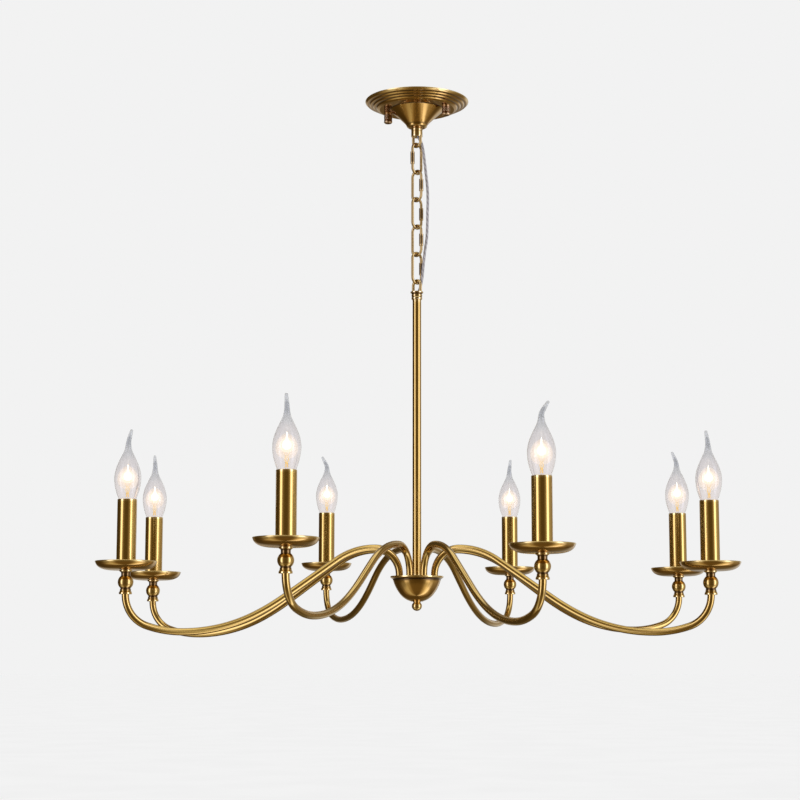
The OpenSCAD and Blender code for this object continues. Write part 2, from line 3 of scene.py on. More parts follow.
import bmesh
import bpy
import numpy as np
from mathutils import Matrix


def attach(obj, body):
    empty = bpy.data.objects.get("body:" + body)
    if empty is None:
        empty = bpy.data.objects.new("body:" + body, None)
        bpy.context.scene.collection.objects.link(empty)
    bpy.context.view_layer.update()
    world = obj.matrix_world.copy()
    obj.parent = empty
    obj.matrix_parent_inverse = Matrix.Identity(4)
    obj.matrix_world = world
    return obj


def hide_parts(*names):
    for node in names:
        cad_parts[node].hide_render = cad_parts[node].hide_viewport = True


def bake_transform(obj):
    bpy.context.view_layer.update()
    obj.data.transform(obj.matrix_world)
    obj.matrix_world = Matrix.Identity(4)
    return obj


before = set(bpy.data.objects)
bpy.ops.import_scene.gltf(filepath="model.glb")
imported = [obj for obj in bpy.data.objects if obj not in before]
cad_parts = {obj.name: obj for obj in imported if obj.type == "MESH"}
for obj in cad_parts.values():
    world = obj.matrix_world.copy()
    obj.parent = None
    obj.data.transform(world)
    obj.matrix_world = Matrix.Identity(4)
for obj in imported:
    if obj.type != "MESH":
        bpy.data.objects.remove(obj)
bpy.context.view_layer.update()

# An eight-arm candle chandelier. Shapes are written in millimetres in the frame of the CAD
# and turned into metres where their meshes are made.
MM = 0.001

# ---- camera ----

CAMERA_AT = (0.0, -2.556, -0.7772)
CAMERA_PITCH = math.radians(7.8)
CAMERA_LENS = 83.66
CAMERA_SHIFT = -0.0211

camera_data = bpy.data.cameras.new("camera")
camera_data.lens = CAMERA_LENS
camera_data.sensor_width = 36.0
camera_data.shift_x = CAMERA_SHIFT
camera_data.clip_start, camera_data.clip_end = 0.05, 400.0
camera = bpy.data.objects.new("camera", camera_data)
camera.location = CAMERA_AT
camera.rotation_euler = (math.pi / 2 + CAMERA_PITCH, 0.0, 0.0)
bpy.context.scene.collection.objects.link(camera)
bpy.context.scene.camera = camera
bpy.context.scene.view_settings.view_transform = "Standard"

# ---- shapes: points, faces, the grain of the metal and its tone ----


def shape(points, faces, grain, tone, slots=None):
    """tone is 0 in a groove, where it paints shade, and 1 on a worn edge; grain is (across, across, along)."""
    return {
        "points": np.array(points, float).reshape(-1, 3),
        "faces": [tuple(f) for f in faces],
        "grain": np.array(grain, float).reshape(-1, 3),
        "tone": np.array(tone, float),
        "slots": slots or [0] * len(faces),
    }


def merged(*parts):
    """Several shapes as one; a part is a shape or (shape, material slot)."""
    points, faces, grain, tone, slots, start = [], [], [], [], [], 0
    for part in parts:
        s, slot = part if isinstance(part, tuple) else (part, None)
        points.append(s["points"])
        grain.append(s["grain"])
        tone.append(s["tone"])
        faces += [tuple(i + start for i in f) for f in s["faces"]]
        slots += s["slots"] if slot is None else [slot] * len(s["faces"])
        start += len(s["points"])
    return shape(np.concatenate(points), faces, np.concatenate(grain), np.concatenate(tone), slots)


def moved(s, at=(0, 0, 0), turn=0.0):
    """The shape turned about Z by turn degrees and then moved."""
    c, d = math.cos(math.radians(turn)), math.sin(math.radians(turn))
    p = s["points"] @ np.array([[c, -d, 0], [d, c, 0], [0, 0, 1]]).T + np.array(at, float)
    return dict(s, points=p)


def rounded(profile, radius=0.4, steps=4, least=22.0):
    """The closed profile with its corners rounded. A point may bring its own radius."""
    out, n = [], len(profile)
    for i in range(n):
        v = np.array(profile[i][:2], float)
        a, b = np.array(profile[i - 1][:2], float), np.array(profile[(i + 1) % n][:2], float)
        r = profile[i][2] if len(profile[i]) > 2 else radius
        to_a, to_b = a - v, b - v
        la, lb = np.linalg.norm(to_a), np.linalg.norm(to_b)
        if la < 1e-9 or lb < 1e-9:
            continue
        bend = 180 - math.degrees(math.acos(max(-1, min(1, to_a @ to_b / la / lb))))
        if v[0] < 1e-6 or bend < least or r <= 0:
            out.append(v)
            continue
        cut = min(r * math.tan(math.radians(bend / 2)), 0.45 * la, 0.45 * lb)
        p, q = v + to_a / la * cut, v + to_b / lb * cut
        for k in range(steps + 1):
            t = k / steps
            out.append((1 - t) ** 2 * p + 2 * t * (1 - t) * v + t * t * q)
    return np.array(out)


def filled(profile, step=3.0):
    """The closed profile with its long straight stretches divided."""
    out, n = [], len(profile)
    for i in range(n):
        a, b = profile[i], profile[(i + 1) % n]
        parts = max(1, math.ceil(np.linalg.norm(b - a) / step))
        if a[0] < 1e-6 and b[0] < 1e-6:
            parts = 1
        out += [a + (b - a) * k / parts for k in range(parts)]
    return np.array(out)


def profile_tone(profile, reach=1.6):
    """0.5 on flat stretches, more on outer edges and less in grooves."""
    before, after = profile - np.roll(profile, 1, 0), np.roll(profile, -1, 0) - profile
    turn = np.arctan2(
        before[:, 0] * after[:, 1] - before[:, 1] * after[:, 0], (before * after).sum(1)
    )
    turn *= 1 if turn.sum() > 0 else -1
    turn[profile[:, 0] < 1e-6] = 0
    far = np.linalg.norm(profile[:, None] - profile[None], axis=2)
    near = (np.exp(-((far / reach) ** 2)) * turn[None]).sum(1)
    return 0.5 + 0.5 * np.tanh(near * 0.9)


def lathe(profile, sides=64, radius=0.4, step=3.0, wave=None):
    """The closed profile of (distance from the axis, height) turned about Z.

    wave(angle, r, z) gives a new distance from the axis, and what to add to the tone.
    """
    line = filled(rounded(profile, radius), step)
    tones = profile_tone(line)
    lengths = np.concatenate([[0], np.cumsum(np.linalg.norm(np.diff(line, axis=0), axis=1))])
    points, grain, tone, rings = [], [], [], []
    for (r, z), t, s in zip(line, tones, lengths):
        if r < 1e-6:
            rings.append([len(points)])
            points.append((0, 0, z))
            grain.append((0, 0, s))
            tone.append(t)
            continue
        rings.append(list(range(len(points), len(points) + sides)))
        for k in range(sides):
            a = 2 * math.pi * k / sides
            w, up = wave(a, r, z) if wave else (r, 0.0)
            points.append((w * math.cos(a), w * math.sin(a), z))
            grain.append((r * math.cos(a), r * math.sin(a), s))
            tone.append(min(1.0, max(0.0, t + up)))
    faces = []
    for i in range(len(rings)):
        a, b = rings[i], rings[(i + 1) % len(rings)]
        if len(a) == 1 and len(b) == 1:
            continue
        for k in range(sides):
            m = (k + 1) % sides
            if len(a) == 1:
                faces.append((a[0], b[m], b[k]))
            elif len(b) == 1:
                faces.append((a[k], a[m], b[0]))
            else:
                faces.append((a[k], a[m], b[m], b[k]))
    return shape(points, faces, grain, tone)


def sweep(line, radius, sides=20, loop=False, flat=None):
    """A round tube along the line. flat is the normal of a line that lies in one plane."""
    line = np.array(line, float)
    n = len(line)
    radii = np.full(n, float(radius)) if np.isscalar(radius) else np.array(radius, float)
    before = np.roll(line, 1, 0) if loop else np.vstack([line[:1], line[:-1]])
    after = np.roll(line, -1, 0) if loop else np.vstack([line[1:], line[-1:]])
    along = after - before
    along /= np.linalg.norm(along, axis=1)[:, None]
    lengths = np.concatenate([[0], np.cumsum(np.linalg.norm(np.diff(line, axis=0), axis=1))])
    side = np.array(flat, float) if flat is not None else np.array([0.0, 1.0, 0.0])
    points, grain, faces = [], [], []
    for i in range(n):
        side = side - along[i] * (side @ along[i])
        side /= np.linalg.norm(side)
        other = np.cross(along[i], side)
        for k in range(sides):
            a = 2 * math.pi * k / sides
            points.append(line[i] + radii[i] * (math.cos(a) * side + math.sin(a) * other))
            grain.append((radii[i] * math.cos(a), radii[i] * math.sin(a), lengths[i]))
    for i in range(n if loop else n - 1):
        for k in range(sides):
            m, j = (k + 1) % sides, (i + 1) % n
            faces.append((i * sides + k, i * sides + m, j * sides + m, j * sides + k))
    if not loop:
        for i, turn in ((0, -1), (n - 1, 1)):
            centre = len(points)
            points.append(line[i])
            grain.append((0, 0, lengths[i]))
            ring = [i * sides + k for k in range(sides)][::turn]
            faces += [(centre, ring[k], ring[(k + 1) % sides]) for k in range(sides)]
    return shape(points, faces, grain, [0.5] * len(points))


def arc(cx, cz, radius, start, end, step=4.0):
    """Points of an arc in the XZ plane, about one every step millimetres."""
    n = max(3, math.ceil(abs(math.radians(end - start)) * radius / step))
    return [
        (cx + radius * math.cos(a), cz + radius * math.sin(a))
        for a in np.radians(np.linspace(start, end, n + 1))
    ]


def smooth_line(points, steps):
    """A smooth curve through the points, with steps stretches between each two."""
    p = np.array(points, float)
    last, out = len(p) - 1, []
    for i in range(last):
        a, b, c, d = p[max(i - 1, 0)], p[i], p[i + 1], p[min(i + 2, last)]
        for s in range(steps):
            t = s / steps
            out.append(
                (2 * b + (c - a) * t + (2 * a - 5 * b + 4 * c - d) * t * t
                 + (3 * b - a - 3 * c + d) * t ** 3) / 2
            )
    return np.array(out + [p[last]])


SHARP = math.radians(38.0)      # edges that turn more than this are shaded as edges


def make(name, s, materials, body, nodes=()):
    """The shape as a piece that rides on the body and stands for the CAD nodes.

    With body None the piece is left free.
    """
    mesh = bpy.data.meshes.new(name)
    mesh.from_pydata((s["points"] * MM).tolist(), [], s["faces"])
    mesh.polygons.foreach_set("material_index", s["slots"])
    grain = mesh.attributes.new("grain", "FLOAT_VECTOR", "POINT")
    grain.data.foreach_set("vector", (s["grain"] * MM).astype(np.float32).ravel())
    tone = mesh.attributes.new("tone", "FLOAT", "POINT")
    tone.data.foreach_set("value", s["tone"].astype(np.float32))
    bm = bmesh.new()
    bm.from_mesh(mesh)
    bmesh.ops.recalc_face_normals(bm, faces=bm.faces)
    for f in bm.faces:
        f.smooth = True
    for e in bm.edges:
        e.smooth = len(e.link_faces) == 2 and e.calc_face_angle(0) < SHARP
    bm.to_mesh(mesh)
    bm.free()
    piece = bpy.data.objects.new(name, mesh)
    bpy.context.scene.collection.objects.link(piece)
    for m in materials if isinstance(materials, (list, tuple)) else [materials]:
        mesh.materials.append(m)
    if body is not None:
        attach(piece, body)
    if nodes:
        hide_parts(*nodes)
    return piece


# ---- materials ----


class Nodes:
    """A material's node tree, with its Principled shader."""

    def __init__(self, name):
        self.material = bpy.data.materials.new(name)
        self.material.use_nodes = True
        self.tree = self.material.node_tree
        self.shader = self.tree.nodes["Principled BSDF"]
        self.output = self.tree.nodes["Material Output"]

    def add(self, kind, **values):
        node = self.tree.nodes.new(kind)
        for key, value in values.items():
            setattr(node, key, value)
        return node

    def link(self, a, b):
        self.tree.links.new(a, b)

    def attribute(self, name):
        return self.add("ShaderNodeAttribute", attribute_name=name)

    def place(self):
        return self.add("ShaderNodeTexCoord").outputs["Object"]

    def noise(self, vector, scale, detail=2.0, stretch=(1, 1, 1), rough=0.5):
        mapping = self.add("ShaderNodeMapping")
        mapping.inputs["Scale"].default_value = stretch
        self.link(vector, mapping.inputs["Vector"])
        node = self.add("ShaderNodeTexNoise")
        node.inputs["Scale"].default_value = scale
        node.inputs["Detail"].default_value = detail
        node.inputs["Roughness"].default_value = rough
        self.link(mapping.outputs["Vector"], node.inputs["Vector"])
        return node.outputs["Fac"]

    def math(self, what, a, b=0.0, c=0.0):
        node = self.add("ShaderNodeMath", operation=what)
        for socket, value in zip(node.inputs, (a, b, c)):
            if isinstance(value, (int, float)):
                socket.default_value = value
            else:
                self.link(value, socket)
        return node.outputs["Value"]

    def ranged(self, value, low, high, to_low, to_high):
        node = self.add("ShaderNodeMapRange")
        for key, number in zip(("From Min", "From Max", "To Min", "To Max"), (low, high, to_low, to_high)):
            node.inputs[key].default_value = number
        self.link(value, node.inputs["Value"])
        return node.outputs["Result"]

    def ramp(self, value, *stops):
        node = self.add("ShaderNodeValToRGB")
        node.color_ramp.interpolation = "EASE"
        elements = node.color_ramp.elements
        elements[0].position, elements[0].color = stops[0][0], (*stops[0][1], 1)
        elements[1].position, elements[1].color = stops[-1][0], (*stops[-1][1], 1)
        for at, colour in stops[1:-1]:
            elements.new(at).color = (*colour, 1)
        self.link(value, node.inputs["Fac"])
        return node.outputs["Color"]

    def bump(self, height, distance, strength=1.0):
        node = self.add("ShaderNodeBump")
        node.inputs["Distance"].default_value = distance
        node.inputs["Strength"].default_value = strength
        self.link(height, node.inputs["Height"])
        self.link(node.outputs["Normal"], self.shader.inputs["Normal"])

    def set(self, **values):
        for key, value in values.items():
            self.shader.inputs[key.replace("_", " ")].default_value = value


def brass(name, groove_shade, body, worn, streak, rough, coat=0.8):
    """Lacquered antique brass.

    streak is how the grain is stretched: along a drawn tube, or round a turned part.
    rough is the least and the most roughness.
    """
    m = Nodes(name)
    grain, place = m.attribute("grain").outputs["Vector"], m.place()
    lines = m.noise(grain, 900.0, 2.0, streak)
    patches = m.noise(place, 34.0, 4.0, rough=0.62)
    specks = m.noise(place, 620.0, 3.0)
    tone = m.attribute("tone").outputs["Fac"]
    level = m.math("ADD", m.math("MULTIPLY", tone, 0.72), m.math("MULTIPLY", patches, 0.20))
    level = m.math("ADD", level, m.math("MULTIPLY", lines, 0.08))
    # the tone paints shade into grooves with the darkest colour and lightens worn outer edges; patches and
    # grain lines vary the colour at random
    m.link(m.ramp(level, (0.30, groove_shade), (0.50, body), (0.86, worn)), m.shader.inputs["Base Color"])
    mixed = m.math("ADD", m.math("MULTIPLY", lines, 0.5), m.math("MULTIPLY", patches, 0.5))
    m.link(m.ranged(mixed, 0.3, 0.7, rough[0], rough[1]), m.shader.inputs["Roughness"])
    height = m.math("ADD", m.math("MULTIPLY", lines, 0.6), m.math("MULTIPLY", specks, 0.4))
    m.bump(height, 0.00002, 0.12)
    m.set(Metallic=1.0, Coat_Weight=coat, Coat_Roughness=0.12, Coat_IOR=1.5)
    return m.material


ALONG, ROUND = (1.0, 1.0, 0.03), (0.04, 0.04, 1.0)      # drawn along a tube, turned round an axis
# colours of the painted shade in grooves, of the body and of worn edges
GROOVE_SHADE, BODY, WORN = (0.18, 0.095, 0.018), (0.60, 0.39, 0.09), (0.88, 0.66, 0.27)

# each brass's first colour is the painted shade in its grooves
drawn_brass = brass("drawn_brass", GROOVE_SHADE, BODY, WORN, ALONG, (0.09, 0.17))
turned_brass = brass("turned_brass", GROOVE_SHADE, BODY, WORN, ROUND, (0.09, 0.17))
spun_brass = brass("spun_brass", (0.07, 0.03, 0.005), (0.60, 0.35, 0.07), WORN, ROUND, (0.08, 0.15))
wire_brass = brass("wire_brass", GROOVE_SHADE, (0.66, 0.47, 0.18), (0.90, 0.72, 0.40), ALONG, (0.06, 0.12))
clip_brass = brass(
    "clip_brass", (0.06, 0.035, 0.01), (0.26, 0.165, 0.05), (0.70, 0.52, 0.24), ALONG, (0.12, 0.22)
)
nut_brass = brass(
    "nut_brass", (0.05, 0.018, 0.006), (0.24, 0.10, 0.035), (0.82, 0.60, 0.34), ROUND, (0.26, 0.40), 0.1
)


def plain_steel():
    m = Nodes("steel")
    place = m.place()
    spangle = m.noise(place, 240.0, 3.0)
    m.link(m.ramp(spangle, (0.3, (0.36, 0.37, 0.38)), (0.7, (0.62, 0.63, 0.65))), m.shader.inputs["Base Color"])
    m.link(m.ranged(spangle, 0.3, 0.7, 0.28, 0.46), m.shader.inputs["Roughness"])
    m.bump(m.noise(place, 900.0, 2.0), 0.00003, 0.5)
    m.set(Metallic=1.0)
    return m.material


GREY_START, GREY_END = 0.030, 0.084     # metres along the glass


def bulb_glass():
    """Clear glass with painted shade that greys it towards the drawn-out tail; the tail is where the glass is
    thickest.
    """
    m = Nodes("bulb_glass")
    parts = m.add("ShaderNodeSeparateXYZ")
    m.link(m.attribute("grain").outputs["Vector"], parts.inputs["Vector"])
    film = m.noise(m.place(), 60.0, 2.0)
    m.link(m.ranged(film, 0.3, 0.7, 0.0, 0.02), m.shader.inputs["Roughness"])
    # painted shade: the glass colour greys and cools along the glass towards the tail
    tail_shade = m.ranged(parts.outputs["Z"], GREY_START, GREY_END, 0.0, 0.9)
    level = m.math("ADD", tail_shade, m.math("MULTIPLY", film, 0.1))
    m.link(
        m.ramp(level, (0.05, (0.93, 0.90, 0.895)), (0.55, (0.87, 0.85, 0.855)), (0.8, (0.78, 0.78, 0.79)),
               (0.97, (0.66, 0.67, 0.69))),
        m.shader.inputs["Base Color"],
    )
    m.set(Transmission_Weight=1.0, IOR=1.48)
    return m.material


def holder_white():
    m = Nodes("holder_white")
    place = m.place()
    m.link(
        m.ramp(m.noise(place, 90.0, 3.0), (0.3, (0.70, 0.67, 0.60)), (0.7, (0.84, 0.82, 0.76))),
        m.shader.inputs["Base Color"],
    )
    m.link(m.ranged(m.noise(place, 300.0), 0.3, 0.7, 0.28, 0.42), m.shader.inputs["Roughness"])
    m.bump(m.noise(place, 700.0), 0.00003, 0.4)
    return m.material


CORD_LAY = 0.016        # metres in which the conductors twist once


def cord_plastic():
    """Clear sleeve over two twisted conductors, whose lay shows through as slanting bands."""
    m = Nodes("cord_plastic")
    grain = m.attribute("grain").outputs["Vector"]
    parts = m.add("ShaderNodeSeparateXYZ")
    m.link(grain, parts.inputs["Vector"])
    angle = m.math("ARCTAN2", parts.outputs["Y"], parts.outputs["X"])
    lay = m.math("ADD", m.math("MULTIPLY", parts.outputs["Z"], 2 * math.pi / CORD_LAY), angle)
    bands = m.math("ABSOLUTE", m.math("SINE", lay))
    dirt = m.noise(m.place(), 320.0, 3.0)
    level = m.math("ADD", m.math("MULTIPLY", bands, 0.8), m.math("MULTIPLY", dirt, 0.2))
    m.link(
        m.ramp(level, (0.08, (0.20, 0.185, 0.185)), (0.45, (0.33, 0.305, 0.315)), (0.9, (0.47, 0.44, 0.45))),
        m.shader.inputs["Base Color"],
    )
    m.link(m.ranged(dirt, 0.3, 0.7, 0.12, 0.24), m.shader.inputs["Roughness"])
    m.bump(bands, 0.00005, 0.4)
    m.set(Coat_Weight=0.7, Coat_Roughness=0.06, Metallic=0.0)
    return m.material


def dark_glass():
    m = Nodes("dark_glass")
    m.link(
        m.ramp(m.noise(m.place(), 500.0), (0.3, (0.008, 0.008, 0.010)), (0.7, (0.03, 0.03, 0.035))),
        m.shader.inputs["Base Color"],
    )
    m.set(Roughness=0.12)
    return m.material


def glow(name, colour, strength, share):
    """Light of the lit filament. share is how much of what is behind it the glow hides."""
    m = Nodes(name)
    m.tree.nodes.remove(m.shader)
    light = m.add("ShaderNodeEmission")
    light.inputs["Color"].default_value = (*colour, 1)
    light.inputs["Strength"].default_value = strength
    if share >= 1:
        m.link(light.outputs["Emission"], m.output.inputs["Surface"])
        return m.material
    clear, mix = m.add("ShaderNodeBsdfTransparent"), m.add("ShaderNodeMixShader")
    mix.inputs["Fac"].default_value = share
    m.link(clear.outputs["BSDF"], mix.inputs[1])
    m.link(light.outputs["Emission"], mix.inputs[2])
    m.link(mix.outputs["Shader"], m.output.inputs["Surface"])
    return m.material


steel = plain_steel()
glass = bulb_glass()
porcelain = holder_white()
cord_clear = cord_plastic()
black_glass = dark_glass()
# the first colour is the painted shade in the thread's grooves
cap_brass = brass(
    "cap_brass", (0.18, 0.12, 0.05), (0.58, 0.48, 0.28), (0.84, 0.76, 0.55), ROUND, (0.18, 0.30), 0.0
)
white_hot = glow("white_hot", (1.0, 0.96, 0.86), 3.2, 1.0)
lit_gold = glow("lit_gold", (1.0, 0.66, 0.20), 1.15, 1.0)
glow_near = glow("glow_near", (1.0, 0.92, 0.72), 1.5, 0.55)
glow_far = glow("glow_far", (1.0, 0.87, 0.74), 1.12, 0.34)

# ---- lamp cord: one length, in six stretches that each hold one joint of the chain ----

CORD_D = 3.8
CORD_ROUTE = [
    (0, 0, -37.6), (0, 0, -44.6), (1.6, 0.6, -50.6), (4.6, 1, -56.1), (7.2, 0.8, -62.6), (9, 0.5, -71.6),
    (10.8, 0.1, -86.6), (13, 0, -106.6), (14.9, 0, -125.6), (15.4, 0, -143.6), (14.9, 0, -161.6),
    (14.6, 0, -180.6), (13.8, 0, -198.6), (11.6, 0, -213.6), (9.8, 0, -229.6), (8.6, 0, -242.6),
    (7.6, 0.2, -252.6), (6.2, 0.4, -261.6), (4.4, 0.6, -269.1), (2.2, 0.4, -275.1), (0.7, 0.2, -279.6),
    (0, 0, -285.6),
]
CORD_EXIT_Z = CORD_ROUTE[0][2]
CHAIN_JOINTS = [-65.6, -104.85, -144.2, -183.55, -222.9, -262.25]

cord_line = smooth_line(CORD_ROUTE, 5)
cord_cuts = [(a + b) / 2 for a, b in zip(CHAIN_JOINTS, CHAIN_JOINTS[1:])]
cord_ends = [0] + [int(np.argmin(abs(cord_line[:, 2] - z))) for z in cord_cuts] + [len(cord_line) - 1]
for i, joint_z in enumerate(CHAIN_JOINTS):
    first, last = cord_ends[i], cord_ends[i + 1]
    stretch = cord_line[first:last + 1]
    part = sweep(stretch, CORD_D / 2, 14)
    # the conductors' lay runs on from stretch to stretch
    start_length = np.linalg.norm(np.diff(cord_line[:first + 1], axis=0), axis=1).sum()
    part["grain"][:, 2] += start_length
    piece = make(
        f"lamp_cord_{i + 1}", part, cord_clear, None, ["power_cord"] if i == 0 else []
    )
    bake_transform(piece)

# ---- canopy, its nuts and its loop ----

CANOPY_R, CANOPY_H, CANOPY_WALL = 73.0, 38.6, 1.2
SHELF_Z, SHELF_R, NECK_R, BELL_FOOT, BELL_END_R = -12.2, 38.5, 15.0, 4.1, 11.4
STEP_IN, STEP_DOWN, STEP_COUNT, FIRST_STEP_Z = 4.8, 2.35, 4, -2.1
NUT_REACH, NUT_TURN = 45.6, -26.0


def bell_point(t):
    """A point of the slightly hollow cone below the shelf, t from its top (0) to its foot (1)."""
    return NECK_R + (SHELF_R - NECK_R) * (1 - t) ** 1.15, SHELF_Z - (CANOPY_H + SHELF_Z - BELL_FOOT) * t


def canopy_profile():
    """Steps from the rim down to a flat shelf, a cone from there to the neck, and back along the inside."""
    steps = [(CANOPY_R - 1 - i * STEP_IN, FIRST_STEP_Z - i * STEP_DOWN) for i in range(STEP_COUNT)]
    outer = [(CANOPY_R - 0.4, 0, 0), (CANOPY_R, -0.5), (CANOPY_R, -1.3, 0.7)]
    for r, z in steps:
        outer += [(r, z, 0.15), (r - 1.4, z - 1.65, 1.3)]
    outer += [(CANOPY_R - 20.2, SHELF_Z, 0.7), (SHELF_R, SHELF_Z, 0.8)]
    outer += [(*bell_point(t), 0) for t in np.linspace(0.06, 1, 20)]
    outer += [(NECK_R - 1.0, -CANOPY_H + 1.5, 1.2), (BELL_END_R, -CANOPY_H, 0.3)]
    floor_z = -CANOPY_H + CANOPY_WALL
    inner = [(5.0, -CANOPY_H, 0), (5.0, floor_z, 0), (BELL_END_R - CANOPY_WALL, floor_z, 0)]
    for t in np.linspace(1, 0.04, 14):
        r, z = bell_point(t)
        inner.append((r - 0.95, z + 1.0, 0))
    inner += [(CANOPY_R - 21.4, SHELF_Z + CANOPY_WALL, 0)]
    for r, z in steps[::-1]:
        inner += [(r - 2.4, z - 0.65, 0), (r - 1.2, z + 0.9, 0)]
    return outer + inner + [(CANOPY_R - 1.3, 0, 0)]


make(
    "canopy_shell", lathe(canopy_profile(), 128, step=2.2), spun_brass, "canopy_body", ["canopy"]
)


def knurl(top, bottom, height=0.42, count=14, pitch=3.4):
    """Diamond knurling between two heights; also lightens the ridges as wear and darkens the grooves as painted
    shade.
    """
    def wave(a, r, z):
        if not bottom < z < top or r < 4.5:
            return r, 0.0
        edge = min(1.0, (top - z) / 0.5, (z - bottom) / 0.5)
        across, down = count / 2 * a, math.pi * z / pitch
        lift = abs(math.sin(across + down) * math.sin(across - down))
        return r + edge * height * (lift - 0.6), edge * (1.5 * lift - 0.62)
    return wave


def thumb_nut(side):
    """A small flange, a knurled waist and a smooth domed cap, on the bracket's stud."""
    z = SHELF_Z - 0.05
    profile = [
        (2.1, z), (5.6, z), (5.6, z - 1.1, 0.5), (5.3, z - 1.6, 0.4), (5.3, z - 2.0, 0.4), (5.75, z - 2.6, 0.3),
        (5.75, z - 9.6, 0.3), (5.3, z - 10.1, 0.3), (5.3, z - 10.4, 0.3), (5.95, z - 10.9, 0.4),
        (5.95, z - 12.6, 1.2), (4.4, z - 13.85, 1.6), (0, z - 14.0), (0, z - 11.0), (2.1, z - 11.0),
    ]
    nut = lathe(profile, 84, 0.3, 0.42, knurl(z - 2.7, z - 9.5))
    c, s = math.cos(math.radians(NUT_TURN + side)), math.sin(math.radians(NUT_TURN + side))
    return moved(nut, (NUT_REACH * c, NUT_REACH * s, 0))


make("thumb_nut_body_left", thumb_nut(180), nut_brass, "left_nut", ["thumb_nut_left"])
make("thumb_nut_body_right", thumb_nut(0), nut_brass, "right_nut", ["thumb_nut_right"])

LOOP_R, LOOP_WIRE = 7.0, 2.0
CHAIN_TURN = 45.0       # the links stand at this angle to the front, left and right by turns


def wire_u(top, leg, up):
    """A U of wire in the XZ plane. Its legs end at top, and its bow hangs below or stands above."""
    way = 1 if up else -1
    bow = [
        (-LOOP_R * math.cos(a), top + way * (leg + LOOP_R * math.sin(a)))
        for a in np.radians(np.linspace(0, 180, 33))
    ]
    line = [(-LOOP_R, top - way * 1.5)] + [(-LOOP_R, top + way * leg * k / 3) for k in range(3)] + bow
    line += [(LOOP_R, top + way * leg * k / 3) for k in (2, 1, 0)] + [(LOOP_R, top - way * 1.5)]
    return sweep([(x, 0, z) for x, z in line], LOOP_WIRE - 0.01, 24, flat=(0, 1, 0))


COLLAR_BASE = -CANOPY_H - 13.0
COLLAR_SEAT = -CANOPY_H - 0.02
collar = lathe([
    (2.7, CORD_EXIT_Z), (4.85, CORD_EXIT_Z), (4.85, COLLAR_SEAT, 0), (7.7, COLLAR_SEAT, 0.5), (8.0, -40.2, 0.5),
    (8.0, -43.0, 0.3), (7.5, -43.5, 0.3), (8.0, -44.0, 0.3), (8.0, COLLAR_BASE + 0.6, 0.6),
    (7.4, COLLAR_BASE, 0.5), (4.7, COLLAR_BASE, 0.4), (2.7, COLLAR_BASE + 5.6, 0.3),
], 72, 0.4, 2.0)
# the nut and the threaded tube inside the canopy that hold the collar
inner_nut = lathe([(2.8, -37.4), (8.9, -37.4), (8.9, -34.0), (2.8, -34.0)], 6, 0.0, 9.0)
inner_tube = lathe([(2.75, -37.5), (4.8, -37.5), (4.8, -33.4), (2.75, -33.4)], 32, 0.3, 3.0)
make(
    "canopy_collar_and_loop",
    merged(collar, inner_nut, inner_tube, moved(wire_u(COLLAR_BASE, 7.0, False), turn=-CHAIN_TURN)),
    wire_brass, "canopy_body", ["canopy_loop"],
)

# ---- chain ----

LINK_R, LINK_WIRE, LINK_REACH = 8.6, 1.9, 43.2
FIRST_LINK_Z, LINK_PITCH = -61.65, 39.35
CLIP_R, CLIP_HALF = 3.0, 8.7


def link_end(z, start):
    """One round end of a link about the height z, from the angle start in degrees."""
    angles = np.radians(np.linspace(start, start + 180, 29))
    return [(LINK_R * math.cos(a), LINK_R * math.sin(a) + z) for a in angles]


def chain_link(i):
    """An oval of wire. A short tube sits on one long side, where the wire's ends meet."""
    straight = LINK_REACH - 2 * LINK_R
    side_z = [-LINK_R - straight * k / 8 for k in range(1, 8)]
    oval = link_end(-LINK_R, 0) + [(-LINK_R, z) for z in side_z]
    oval += link_end(-LINK_R - straight, 180) + [(LINK_R, z) for z in side_z[::-1]]
    wire = sweep([(x, 0, z) for x, z in oval], LINK_WIRE - 0.01, 22, True, (0, 1, 0))
    low, high = -LINK_REACH / 2 - CLIP_HALF, -LINK_REACH / 2 + CLIP_HALF
    clip = lathe([(1.6, low), (CLIP_R, low, 0.5), (CLIP_R, high, 0.5), (1.6, high)], 28, 0.4, 2.0)
    side = -1 if i == 1 else 1
    both = merged((wire, 0), (moved(clip, (side * LINK_R, 0, 0)), 1))
    return moved(both, (0, 0, FIRST_LINK_Z - (i - 1) * LINK_PITCH), CHAIN_TURN if i % 2 else -CHAIN_TURN)


for i in range(1, 6):
    make(
        f"link_{i}_wire", chain_link(i), [wire_brass, clip_brass], f"link_{i}",
        [f"chain_link_{i}"],
    )

# ---- stem ----

HUB_Z = -670.6
STEM_R, STEM_TOP, STEM_END, ROD_END = 6.0, -285.8, HUB_Z - 0.5, -711.9
COLLAR_TOP, RIB_PITCH = -274.3, 3.83

